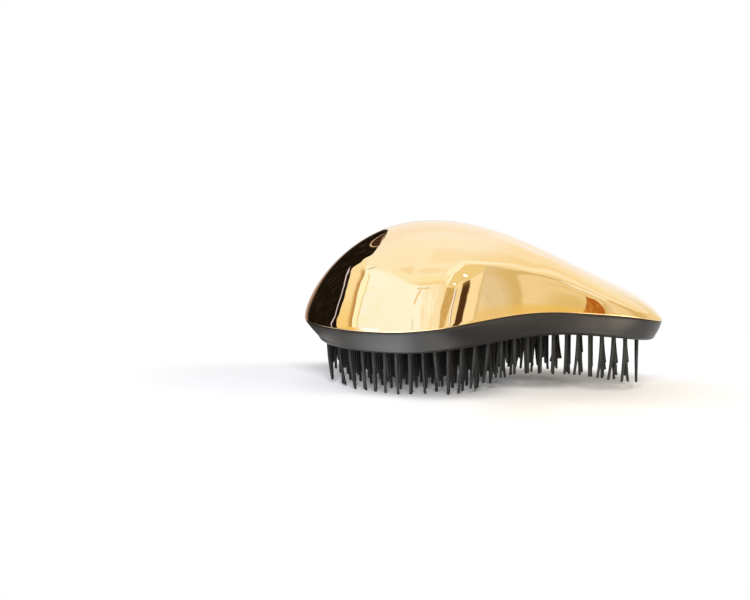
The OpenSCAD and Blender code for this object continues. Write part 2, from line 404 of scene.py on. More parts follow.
# ---------------------------------------------------------------------------
# Node helpers
# ---------------------------------------------------------------------------
class Nodes:
    """Short names for making node trees."""

    def __init__(self, tree):
        self.tree = tree
        tree.nodes.clear()

    def add(self, kind, **props):
        node = self.tree.nodes.new(kind)
        for key, value in props.items():
            setattr(node, key, value)
        return node

    def link(self, a, b):
        self.tree.links.new(a, b)

    def put(self, socket, value):
        if isinstance(value, bpy.types.NodeSocket):
            self.link(value, socket)
        else:
            socket.default_value = value

    def math(self, op, *args, clamp=False):
        node = self.add("ShaderNodeMath", operation=op, use_clamp=clamp)
        for i, value in enumerate(args):
            self.put(node.inputs[i], value)
        return node.outputs[0]

    def add_(self, a, b): return self.math("ADD", a, b)
    def sub(self, a, b): return self.math("SUBTRACT", a, b)
    def mul(self, a, b): return self.math("MULTIPLY", a, b)
    def div(self, a, b): return self.math("DIVIDE", a, b)

    def step(self, value, lo, hi):
        """Smooth step from 0 at lo to 1 at hi."""
        node = self.add("ShaderNodeMapRange", interpolation_type="SMOOTHSTEP", clamp=True)
        self.put(node.inputs["Value"], value)
        self.put(node.inputs["From Min"], lo)
        self.put(node.inputs["From Max"], hi)
        node.inputs["To Min"].default_value = 0.0
        node.inputs["To Max"].default_value = 1.0
        return node.outputs["Result"]

    def between(self, value, lo, hi, soft):
        return self.mul(self.step(value, lo - soft, lo + soft), self.sub(1.0, self.step(value, hi - soft, hi + soft)))

    def all_(self, *masks):
        out = masks[0]
        for m in masks[1:]:
            out = self.mul(out, m)
        return out

    def mix(self, factor, a, b, kind="MIX"):
        node = self.add("ShaderNodeMix", data_type="RGBA", blend_type=kind)
        self.put(node.inputs[0], factor)
        for socket, value in ((node.inputs[6], a), (node.inputs[7], b)):
            if isinstance(value, (tuple, list)):
                value = (*value[:3], 1.0)
            self.put(socket, value)
        return node.outputs[2]

    def noise(self, vector, scale, detail=2.0, rough=0.5, distort=0.0):
        node = self.add("ShaderNodeTexNoise")
        if vector is not None:
            self.link(vector, node.inputs["Vector"])
        node.inputs["Scale"].default_value = scale
        node.inputs["Detail"].default_value = detail
        node.inputs["Roughness"].default_value = rough
        node.inputs["Distortion"].default_value = distort
        return node.outputs["Fac"]

    def scaled(self, vector, x, y, z):
        node = self.add("ShaderNodeMapping")
        self.link(vector, node.inputs["Vector"])
        node.inputs["Scale"].default_value = (x, y, z)
        return node.outputs["Vector"]

    def ramp(self, value, stops, interpolation="LINEAR"):
        node = self.add("ShaderNodeValToRGB")
        self.put(node.inputs["Fac"], value)
        ramp = node.color_ramp
        ramp.interpolation = interpolation
        while len(ramp.elements) > 1:
            ramp.elements.remove(ramp.elements[-1])
        for i, (pos, colour) in enumerate(stops):
            el = ramp.elements[0] if i == 0 else ramp.elements.new(pos)
            el.position = pos
            el.color = (*colour[:3], 1.0)
        return node.outputs["Color"]

    def bump(self, height, strength, distance, normal=None):
        node = self.add("ShaderNodeBump")
        node.inputs["Strength"].default_value = strength
        node.inputs["Distance"].default_value = distance
        self.link(height, node.inputs["Height"])
        if normal is not None:
            self.link(normal, node.inputs["Normal"])
        return node.outputs["Normal"]

    def curve(self, value, points, lo, hi, smooth=False):
        """A line through points (value, result). Results lie between lo and hi."""
        x0, x1 = points[0][0], points[-1][0]
        node = self.add("ShaderNodeFloatCurve")
        self.put(node.inputs["Value"], self.div(self.sub(value, x0), x1 - x0))
        line = node.mapping.curves[0]
        spots = [((x - x0) / (x1 - x0), (y - lo) / (hi - lo)) for x, y in points]
        line.points[0].location = spots[0]
        line.points[-1].location = spots[-1]
        for spot in spots[1:-1]:
            line.points.new(*spot)
        for point in line.points:
            point.handle_type = "AUTO_CLAMPED" if smooth else "VECTOR"
        node.mapping.update()
        return self.add_(lo, self.mul(hi - lo, node.outputs[0]))

    def edge(self, value, along, points, lo, hi):
        """Distance, nearly, from the line value = f(along). It is negative where value is below f."""
        here = self.curve(along, points, lo, hi, True)
        ahead = self.curve(self.add_(along, 1.2), points, lo, hi, True)
        back = self.curve(self.sub(along, 1.2), points, lo, hi, True)
        slope = self.div(self.sub(ahead, back), 2.4)
        return self.div(self.sub(value, here), self.math("SQRT", self.add_(1.0, self.mul(slope, slope))))

    def blend(self, value, stops):
        """Colours along a value, straight from stop to stop."""
        colour = stops[0][1]
        for (v0, _), (v1, c1) in zip(stops, stops[1:]):
            node = self.add("ShaderNodeMapRange", clamp=True)
            self.put(node.inputs["Value"], value)
            node.inputs["From Min"].default_value = v0
            node.inputs["From Max"].default_value = v1
            colour = self.mix(node.outputs["Result"], colour, c1)
        return colour

    def grey(self, value):
        node = self.add("ShaderNodeCombineColor")
        for k in range(3):
            self.link(value, node.inputs[k])
        return node.outputs[0]

    def object_coords(self):
        return self.add("ShaderNodeTexCoord").outputs["Object"]


def new_material(name):
    m = bpy.data.materials.new(name)
    m.use_nodes = True
    n = Nodes(m.node_tree)
    out = n.add("ShaderNodeOutputMaterial")
    shader = n.add("ShaderNodeBsdfPrincipled")
    n.link(shader.outputs[0], out.inputs["Surface"])
    return m, n, shader


def lin(r, g, b):
    """Linear light of a colour given as 0 to 255."""
    return tuple((c / 255 / 12.92) if c / 255 <= 0.04045 else ((c / 255 + 0.055) / 1.055) ** 2.4 for c in (r, g, b))


GOLD = (0.98, 0.71, 0.40)


# ---------------------------------------------------------------------------
# Materials
# ---------------------------------------------------------------------------
def gold_material():
    m, n, s = new_material("shell_gold")
    xyz = n.object_coords()
    broad = n.noise(xyz, 26, 2)
    colour = n.mix(n.step(broad, 0.35, 0.65), (0.985, 0.72, 0.41), (0.97, 0.695, 0.385))
    n.link(colour, s.inputs["Base Color"])
    s.inputs["Metallic"].default_value = 1.0
    # a plated moulding isn't quite flat: broad ripples and fine orange peel
    fine = n.noise(xyz, 1500, 2, 0.6)
    haze = n.step(n.noise(xyz, 90, 3), 0.3, 0.8)
    n.link(n.add_(0.012, n.mul(haze, 0.018)), s.inputs["Roughness"])
    ripple = n.bump(n.noise(xyz, 34, 1, 0.4), 0.5, 0.00002)
    peel = n.bump(fine, 0.1, 0.000006, ripple)
    n.link(peel, s.inputs["Normal"])
    return m


def rim_material():
    m, n, s = new_material("rim_black")
    xyz = n.object_coords()
    broad = n.step(n.noise(xyz, 45, 3), 0.3, 0.7)
    colour = n.mix(broad, (0.0145, 0.0135, 0.0125), (0.0185, 0.0172, 0.016))
    specks = n.step(n.noise(xyz, 2600, 2, 0.7), 0.72, 0.8)
    colour = n.mix(n.mul(specks, 0.2), colour, (0.06, 0.057, 0.054))
    n.link(colour, s.inputs["Base Color"])
    n.link(n.add_(0.30, n.mul(broad, 0.06)), s.inputs["Roughness"])
    s.inputs["Specular IOR Level"].default_value = 0.5
    grain = n.noise(xyz, 3200, 3, 0.6)
    n.link(n.bump(grain, 0.25, 0.00004), s.inputs["Normal"])
    return m


def bristle_material(name, tint):
    m, n, s = new_material(name)
    xyz = n.object_coords()
    along = n.noise(n.scaled(xyz, 1, 1, 0.08), 1400, 2, 0.6)
    colour = n.mix(n.step(along, 0.35, 0.65), tuple(0.011 * t for t in tint), tuple(0.018 * t for t in tint))
    n.link(colour, s.inputs["Base Color"])
    n.link(n.add_(0.42, n.mul(along, 0.14)), s.inputs["Roughness"])
    s.inputs["Specular IOR Level"].default_value = 0.45
    n.link(n.bump(along, 0.35, 0.00005), s.inputs["Normal"])
    return m


def pad_material():
    m, n, s = new_material("pad_black")
    xyz = n.object_coords()
    broad = n.step(n.noise(xyz, 60, 3), 0.3, 0.7)
    colour = n.mix(broad, (0.022, 0.022, 0.022), (0.030, 0.029, 0.028))
    n.link(colour, s.inputs["Base Color"])
    n.link(n.add_(0.62, n.mul(broad, 0.12)), s.inputs["Roughness"])
    s.inputs["Specular IOR Level"].default_value = 0.35
    n.link(n.bump(n.noise(xyz, 2200, 3, 0.65), 0.4, 0.00006), s.inputs["Normal"])
    return m


def plate_material():
    m, n, s = new_material("plate_black")
    xyz = n.object_coords()
    grain = n.noise(xyz, 1800, 3, 0.6)
    colour = n.mix(n.step(n.noise(xyz, 70, 2), 0.3, 0.7), (0.075, 0.075, 0.075), (0.095, 0.094, 0.092))
    n.link(colour, s.inputs["Base Color"])
    n.link(n.add_(0.48, n.mul(grain, 0.12)), s.inputs["Roughness"])
    n.link(n.bump(grain, 0.3, 0.00005), s.inputs["Normal"])
    return m


def screw_material():
    m, n, s = new_material("screw_steel")
    xyz = n.object_coords()
    brushed = n.noise(n.scaled(xyz, 1, 6, 1), 2600, 3, 0.6)
    colour = n.mix(brushed, (0.52, 0.52, 0.54), (0.70, 0.70, 0.71))
    n.link(colour, s.inputs["Base Color"])
    s.inputs["Metallic"].default_value = 1.0
    n.link(n.add_(0.24, n.mul(brushed, 0.14)), s.inputs["Roughness"])
    n.link(n.bump(brushed, 0.2, 0.00003), s.inputs["Normal"])
    return m


def paint(piece, material):
    piece.data.materials.clear()
    piece.data.materials.append(material)


# ---------------------------------------------------------------------------
# The object
# ---------------------------------------------------------------------------
shell = build_shell()
rim = build_rim()
pad = build_pad()
bristles = build_bristles()

paint(shell, gold_material())
paint(rim, rim_material())
paint(pad, pad_material())
bristle_paint = bristle_material("bristle_black", (1.0, 0.98, 0.93))
for piece in bristles.values():
    paint(piece, bristle_paint)

for piece, node, slot in ((shell, "top_shell", "shell_gold"), (rim, "rim_frame", "rim_black"),
                          (pad, "bristle_pad", "pad_black"), (bristles[0], "long_bristles", "bristle_black"),
                          (bristles[1], "medium_bristles", "bristle_black"),
                          (bristles[2], "short_bristles", "bristle_black")):
    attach(piece, "root")
    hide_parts(node)

for node, material in (("backing_plate", plate_material()), ("plate_screws", screw_material())):
    paint(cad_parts[node], material)


# ---------------------------------------------------------------------------
# Floor: it takes the brush's shadow, deepened by painted shade and lifted by a painted glow under the head, and runs
# out to plain white round it
# ---------------------------------------------------------------------------
def build_floor():
    rings = [0.0, 0.015, 0.03, 0.045, 0.06, 0.08, 0.1, 0.12, 0.15, 0.18, 0.22]
    n = 96
    pts, faces = [(0, 0, 0)], []
    for r in rings[1:]:
        for k in range(n):
            t = 2 * math.pi * k / n
            pts.append((1000 * r * math.cos(t), 1000 * r * math.sin(t), 0.0))
    faces += fan_faces(0, 1, n)
    for i in range(len(rings) - 2):
        faces += band_faces(1 + i * n, 1 + (i + 1) * n, n, flip=True)
    floor = add_mesh("floor", pts, faces)
    m = bpy.data.materials.new("floor_pale")
    m.use_nodes = True
    n = Nodes(m.node_tree)
    xyz = n.object_coords()
    split = n.add("ShaderNodeSeparateXYZ")
    n.link(xyz, split.inputs[0])
    x, y = split.outputs[0], split.outputs[1]
    soft = n.step(n.noise(xyz, 9, 3), 0.3, 0.7)
    # painted colour cast: bluish under the head, warm under the tail, standing in for bounced light
    tint = n.mix(n.step(x, -0.03, 0.03), (0.90, 0.915, 0.96), (0.945, 0.905, 0.85))
    tint = n.mix(n.mul(soft, 0.2), tint, (0.93, 0.925, 0.915))
    # painted shade: the floor's colour is darkened most in front of the head and under the waist
    for cx, cy, wide, deep, strength in ((-0.018, -0.010, 0.034, 0.028, 0.42), (0.017, 0.011, 0.024, 0.017, 0.40)):
        sx, sy = n.div(n.sub(x, cx), wide), n.div(n.sub(y, cy), deep)
        off = n.math("SQRT", n.add_(n.mul(sx, sx), n.mul(sy, sy)))
        shade = n.sub(1.0, n.mul(strength, n.sub(1.0, n.step(off, 0.5, 1.15))))
        tint = n.mix(1.0, tint, n.grey(shade), "MULTIPLY")
    s = n.add("ShaderNodeBsdfPrincipled")
    n.link(tint, s.inputs["Base Color"])
    s.inputs["Roughness"].default_value = 0.75
    s.inputs["Specular IOR Level"].default_value = 0.1
    glow = n.add("ShaderNodeEmission")
    glow.inputs["Color"].default_value = (1.0, 1.0, 1.0, 1.0)
    glow.inputs["Strength"].default_value = 1.02
    # painted glow: a faint bluish emission on the floor under the head lifts its shadow
    hx, hy = n.div(n.add_(x, 0.022), 0.052), n.div(n.sub(y, 0.010), 0.032)
    head = n.math("SQRT", n.add_(n.mul(hx, hx), n.mul(hy, hy)))
    painted_fill_glow = n.add("ShaderNodeEmission")
    painted_fill_glow.inputs["Color"].default_value = (0.92, 0.96, 1.08, 1.0)
    n.link(n.mul(0.07, n.sub(1.0, n.step(head, 0.45, 1.1))), painted_fill_glow.inputs["Strength"])
    lit = n.add("ShaderNodeAddShader")
    n.link(s.outputs[0], lit.inputs[0])
    n.link(painted_fill_glow.outputs[0], lit.inputs[1])
    px = n.math("MAXIMUM", n.div(x, 0.074), n.div(x, -0.105))
    py = n.math("MAXIMUM", n.div(y, 0.036), n.div(y, -0.055))
    q = n.math("SQRT", n.add_(n.mul(px, px), n.mul(py, py)))
    blend = n.add("ShaderNodeMixShader")
    n.link(n.step(q, 1.0, 1.6), blend.inputs[0])
    n.link(lit.outputs[0], blend.inputs[1])
    n.link(glow.outputs[0], blend.inputs[2])
    out = n.add("ShaderNodeOutputMaterial")
    n.link(blend.outputs[0], out.inputs["Surface"])
    paint(floor, m)
    floor.visible_glossy = False
    return floor


floor = build_floor()


# ---------------------------------------------------------------------------
# Studio: what a mirror sees. Azimuth 0 is toward -Y, +90 toward +X.
# ---------------------------------------------------------------------------
def seen(r, g, b, gain=1.0):
    """Light that shows as this colour in the gold."""
    return tuple(gain * c / f for c, f in zip(lin(r, g, b), GOLD))


NEUTRAL = (0.95, 0.93, 0.90)
PALE = seen(255, 243, 206)
LIGHT = seen(254, 232, 196)
CREAM = seen(254, 230, 180)
SAND = seen(252, 221, 164)
GOLDEN = seen(249, 213, 148)
DUST = seen(233, 202, 148)
TAN = seen(230, 190, 112)
DEEP = seen(221, 181, 108)


def build_world():
    world = bpy.data.worlds.new("studio")
    bpy.context.scene.world = world
    world.use_nodes = True
    n = Nodes(world.node_tree)
    direction = n.add("ShaderNodeTexCoord").outputs["Generated"]
    split = n.add("ShaderNodeSeparateXYZ")
    n.link(direction, split.inputs[0])
    x, y, z = split.outputs
    az = n.mul(n.math("ARCTAN2", x, n.mul(y, -1.0)), 180 / math.pi)
    el = n.mul(n.math("ARCSINE", z), 180 / math.pi)

    def ellipse(a0, e0, long, wide, turn=0.0):
        c, s = math.cos(math.radians(turn)), math.sin(math.radians(turn))
        da, de = n.sub(az, a0), n.sub(el, e0)
        p = n.div(n.add_(n.mul(da, c), n.mul(de, s)), long)
        q = n.div(n.sub(n.mul(de, c), n.mul(da, s)), wide)
        return n.math("SQRT", n.add_(n.mul(p, p), n.mul(q, q)))

    # ceiling: warmest in front, nearly white behind
    run = n.div(y, n.math("MAXIMUM", z, 0.12))
    ceiling = n.blend(run, [(-0.2, CREAM), (0.8, LIGHT)])
    behind = n.step(n.math("ABSOLUTE", az), 95, 150)
    back = n.blend(el, [(15, (1.0, 1.02, 1.06)), (30, (1.0, 1.05, 1.13))])
    colour = n.mix(n.mul(behind, n.sub(1.0, n.step(el, 48, 62))), ceiling, back)
    shade = n.sub(1.0, n.step(ellipse(-5, 53, 33, 6.5), 0.5, 1.2))
    colour = n.mix(n.mul(shade, 0.9), colour, seen(250, 214, 152))

    # front and right walls, tan with a fine mottle
    grain = n.add("ShaderNodeTexNoise")
    n.link(direction, grain.inputs["Vector"])
    grain.inputs["Scale"].default_value = 70
    grain.inputs["Detail"].default_value = 4
    grain.inputs["Roughness"].default_value = 0.7
    mottle = n.step(grain.outputs["Fac"], 0.35, 0.68)
    shift = n.curve(el, [(-90, 0), (9, 0), (20, 1.6), (32, 5.0), (40, 9.0), (47, 12.5), (60, 16), (90, 16)], 0, 17)
    bent = n.sub(az, n.all_(shift, n.step(az, 6, 16), n.sub(1.0, n.step(az, 36, 60))))
    wall = n.blend(bent, [(-5, TAN), (9, GOLDEN), (15, GOLDEN), (16.5, DEEP), (19, DEEP), (24, DUST), (29, DUST), (33, SAND),
                          (37, SAND), (42, GOLDEN), (60, GOLDEN), (72, DEEP), (90, DEEP), (111, GOLDEN), (137, GOLDEN),
                          (155, SAND)])
    wall = n.mix(n.mul(n.sub(1.0, mottle), 0.38), wall, seen(212, 172, 104))
    # it glows orange low down
    glow = n.mul(n.sub(1.0, n.step(el, -5, 4)), n.sub(1.0, n.step(az, 34, 46)))
    wall = n.mix(n.mul(glow, n.add_(0.85, n.mul(-0.3, n.step(az, 12, 24)))), wall, seen(240, 188, 90))
    top = n.curve(az, [(-90, 38), (0, 38), (2, 57), (12, 58), (20, 64), (28, 70), (45, 72), (60, 63), (110, 63),
                       (140, 56), (165, 50), (180, 50)], 37, 73)
    on_wall = n.all_(n.step(az, -12, -9), n.sub(1.0, n.step(az, 158, 172)),
                     n.sub(1.0, n.step(n.sub(el, top), -1.2, 1.2)))
    colour = n.mix(on_wall, colour, wall)

    # pale panel, from the brown line on the left to the front
    lip = n.curve(az, [(-90, 50), (-57, 50.4), (-49, 49.9), (-38, 48), (-27, 43.7), (-17, 39.5), (-8, 35)], 30, 52)
    line = n.edge(az, el, [(-90, -52), (-1.1, -50.2), (6.3, -49.7), (13.9, -50.4), (20.9, -52.6), (27.2, -55.6),
                           (31.7, -58.2), (36, -61.7), (39.2, -64.1), (42.2, -67.4), (45.1, -72.7), (46.9, -76.8),
                           (50, -84), (90, -84)], -85, -49)
    under = n.sub(1.0, n.step(n.sub(el, lip), -3.0, 2.5))
    pale = n.all_(n.step(line, -0.3, 0.3), n.sub(1.0, n.step(az, -25, -15)), under)
    blotch = n.step(n.noise(direction, 5.0, 2), 0.35, 0.65)
    colour = n.mix(pale, colour, n.mix(blotch, seen(255, 241, 196), seen(255, 243, 210)))
    ochre = n.edge(az, el, [(-90, -47), (0.8, -45.5), (6.6, -45.1), (13.2, -45.5), (21.1, -47.2), (25.6, -48),
                            (32.7, -51.4), (37.4, -54.5), (42.8, -59.9), (46.8, -65.1), (90, -65.1)], -66, -44)
    low = n.sub(1.0, n.step(el, 42, 48))
    colour = n.mix(n.all_(n.between(ochre, -0.5, 0.5, 0.4), low, n.sub(1.0, n.step(az, -30, -20))), colour,
                   seen(234, 200, 124))
    strip = n.all_(n.step(line, 0.0, 0.4), n.sub(1.0, n.step(ochre, -0.8, 0.0)), low)
    colour = n.mix(n.mul(strip, 0.75), colour, seen(255, 238, 182, 1.05))
    dash = n.sub(1.0, n.step(ellipse(-71.2, 49.6, 4.4, 0.85, 37), 0.6, 1.1))
    colour = n.mix(n.mul(dash, 0.85), colour, seen(140, 118, 60))

    # orange-gold zone and its brown border
    border = n.edge(az, el, [(-90, -71), (-2.3, -69), (6.3, -66.0), (16.8, -66.4), (26.6, -71.8), (34.6, -81.5),
                             (38.2, -90), (39.6, -98.1), (41.5, -102.3), (45.4, -101.9), (47.9, -107.4),
                             (50.6, -107.4), (52.3, -111.6), (54, -130), (90, -130)], -131, -66)
    orange = n.all_(n.step(border, -0.3, 0.3), n.sub(1.0, n.step(line, -0.3, 0.3)),
                    n.sub(1.0, n.step(el, 43, 54)))
    glow = n.mix(n.step(el, -6, 30), seen(250, 205, 120), seen(254, 218, 152))
    colour = n.mix(orange, colour, glow)
    brown = n.all_(n.step(line, -6.0, -1.0), n.sub(1.0, n.step(line, -0.35, 0.35)), n.sub(1.0, n.step(el, 44.5, 47.5)))
    colour = n.mix(brown, colour, seen(196, 142, 70))

    # below the horizon the far floor shows
    colour = n.mix(n.all_(n.sub(1.0, n.step(el, -6.2, -5.6)), n.step(az, -64, -60), n.sub(1.0, n.step(az, -48, -38))),
                   colour, seen(250, 195, 100))
    colour = n.mix(n.all_(n.sub(1.0, n.step(el, -6.4, -5.9)), n.step(az, -50, -36), n.sub(1.0, n.step(az, -28, -8))),
                   colour, seen(255, 250, 238, 1.1))
    colour = n.mix(n.sub(1.0, n.step(el, -18, -13)), colour, NEUTRAL)

    # dark flag on the left, streaked, with an outlined end
    over = n.curve(az, [(-180, -20), (-168, -8), (-165, 6), (-162, 13.5), (-160, 20), (-157.5, 25), (-155, 29),
                        (-153.5, 31.5), (-146.3, 40.3), (-141.5, 43.6), (-131.9, 48.3), (-129.2, 49.5), (-123, 51),
                        (-118, 51.9), (-111.6, 52.3), (-107, 60), (180, 60)], -21, 61)
    flag = n.all_(n.sub(1.0, n.step(border, -0.35, 0.35)), n.sub(1.0, n.step(n.sub(el, over), -0.5, 0.5)),
                  n.sub(1.0, n.step(az, -60, -50)))
    flat = n.add("ShaderNodeCombineXYZ")
    turn = math.radians(63)
    n.link(n.add_(n.mul(az, math.cos(turn)), n.mul(el, math.sin(turn))), flat.inputs[0])
    n.link(n.sub(n.mul(el, math.cos(turn)), n.mul(az, math.sin(turn))), flat.inputs[1])
    streaks = n.noise(n.scaled(flat.outputs[0], 0.06, 0.55, 1.0), 1.0, 3, 0.6)
    dark = n.mix(n.step(streaks, 0.54, 0.76), seen(27, 18, 9), seen(76, 58, 40))
    colour = n.mix(flag, colour, dark)
    pink = n.edge(az, el, [(-90, -78), (-5.9, -77.6), (-2.6, -75.0), (5.7, -71.3), (16.1, -72.2), (25.9, -77.4),
                           (33.1, -88.0), (35.9, -96.8), (37.8, -104.6), (38.5, -111.1), (39.2, -122), (90, -122)],
                  -123, -71)
    colour = n.mix(n.all_(n.between(pink, -0.62, 0.62, 0.4), n.sub(1.0, n.step(el, 37.6, 38.8)), n.step(az, -113, -104),
                          n.sub(1.0, n.step(az, -60, -50))), colour, seen(230, 206, 192))
    # an outlined lens lies in the flag's upper end
    c, s, long, wide = math.cos(math.radians(37)), math.sin(math.radians(37)), 16.6, 2.9
    da, de = n.sub(az, -141.3), n.sub(el, 39.5)
    p = n.div(n.add_(n.mul(da, c), n.mul(de, s)), long)
    q = n.div(n.sub(n.mul(de, c), n.mul(da, s)), wide)
    radius = n.math("SQRT", n.add_(n.mul(p, p), n.mul(q, q)))
    fall = n.math("SQRT", n.add_(n.mul(n.div(p, long), n.div(p, long)), n.mul(n.div(q, wide), n.div(q, wide))))
    gap = n.div(n.mul(n.sub(radius, 1.0), radius), n.math("MAXIMUM", fall, 0.001))
    inside = n.mix(n.step(streaks, 0.4, 0.7), seen(60, 36, 20), seen(92, 60, 36))
    colour = n.mix(n.sub(1.0, n.step(gap, -0.6, 0.2)), colour, inside)
    colour = n.mix(n.all_(n.between(gap, -0.3, 0.3, 0.35), n.sub(1.0, n.step(n.sub(el, over), -1.2, 0.4))), colour,
                   seen(244, 200, 142))
    # the silhouette's edge catches a pale rosy light
    rosy = n.all_(n.sub(1.0, n.step(az, -150, -128)), n.step(az, -180, -167), n.sub(1.0, n.step(el, 4, 11)),
                  n.step(el, -14, -8))
    colour = n.mix(n.mul(rosy, 0.85), colour, (0.62, 0.46, 0.40))

    # soft light for everything that isn't a mirror: cool on the left, warm on the right
    soft = n.mix(n.step(az, -60, 70), (0.95, 0.98, 1.03), (1.06, 0.99, 0.90))
    soft = n.mix(n.step(el, 10, 70), soft, (1.0, 0.99, 0.975))

    path = n.add("ShaderNodeLightPath")
    mirror = n.add("ShaderNodeBackground")
    n.link(colour, mirror.inputs["Color"])
    diffuse = n.add("ShaderNodeBackground")
    n.link(soft, diffuse.inputs["Color"])
    diffuse.inputs["Strength"].default_value = 0.45
    white = n.add("ShaderNodeBackground")
    white.inputs["Color"].default_value = (1, 1, 1, 1)
    first = n.add("ShaderNodeMixShader")
    n.link(path.outputs["Is Diffuse Ray"], first.inputs[0])
    n.link(mirror.outputs[0], first.inputs[1])
    n.link(diffuse.outputs[0], first.inputs[2])
    last = n.add("ShaderNodeMixShader")
    n.link(path.outputs["Is Camera Ray"], last.inputs[0])
    n.link(first.outputs[0], last.inputs[1])
    n.link(white.outputs[0], last.inputs[2])
    out = n.add("ShaderNodeOutputWorld")
    n.link(last.outputs[0], out.inputs["Surface"])


build_world()


# ---------------------------------------------------------------------------
# Cards near the brush, seen only in reflections
# ---------------------------------------------------------------------------
def card_mesh(name, at, nu=24, nv=24):
    """A grid over the unit square, placed by at(u, v) in millimetres."""
    pts = [at(i / nu, j / nv) for j in range(nv + 1) for i in range(nu + 1)]
    faces = [[j * (nu + 1) + i, j * (nu + 1) + i + 1, (j + 1) * (nu + 1) + i + 1, (j + 1) * (nu + 1) + i]
             for j in range(nv) for i in range(nu)]
    return add_mesh(name, pts, faces)


def card_start(name):
    m = bpy.data.materials.new(name)
    m.use_nodes = True
    n = Nodes(m.node_tree)
    xyz = n.object_coords()
    split = n.add("ShaderNodeSeparateXYZ")
    n.link(xyz, split.inputs[0])
    return m, n, xyz, [n.mul(split.outputs[i], 1000.0) for i in range(3)]


def card_end(card, m, n, colour, share=None):
    glow = n.add("ShaderNodeEmission")
    n.put(glow.inputs["Color"], colour)
    out = n.add("ShaderNodeOutputMaterial")
    if share is None:
        n.link(glow.outputs[0], out.inputs["Surface"])
    else:
        blend = n.add("ShaderNodeMixShader")
        n.link(share, blend.inputs[0])
        n.link(n.add("ShaderNodeBsdfTransparent").outputs[0], blend.inputs[1])
        n.link(glow.outputs[0], blend.inputs[2])
        n.link(blend.outputs[0], out.inputs["Surface"])
    paint(card, m)
    card.visible_camera = False
    card.visible_diffuse = False
    card.visible_shadow = False
    card.visible_transmission = False


EDGE_Z = [12, 24, 28, 33, 38, 50, 58.5, 68, 76, 92.5, 108.6, 122]
EDGE_X = [26.4, 26.1, 26.0, 25.6, 25.5, 25.4, 26.0, 27.1, 28.3, 31.3, 34.5, 37.0]


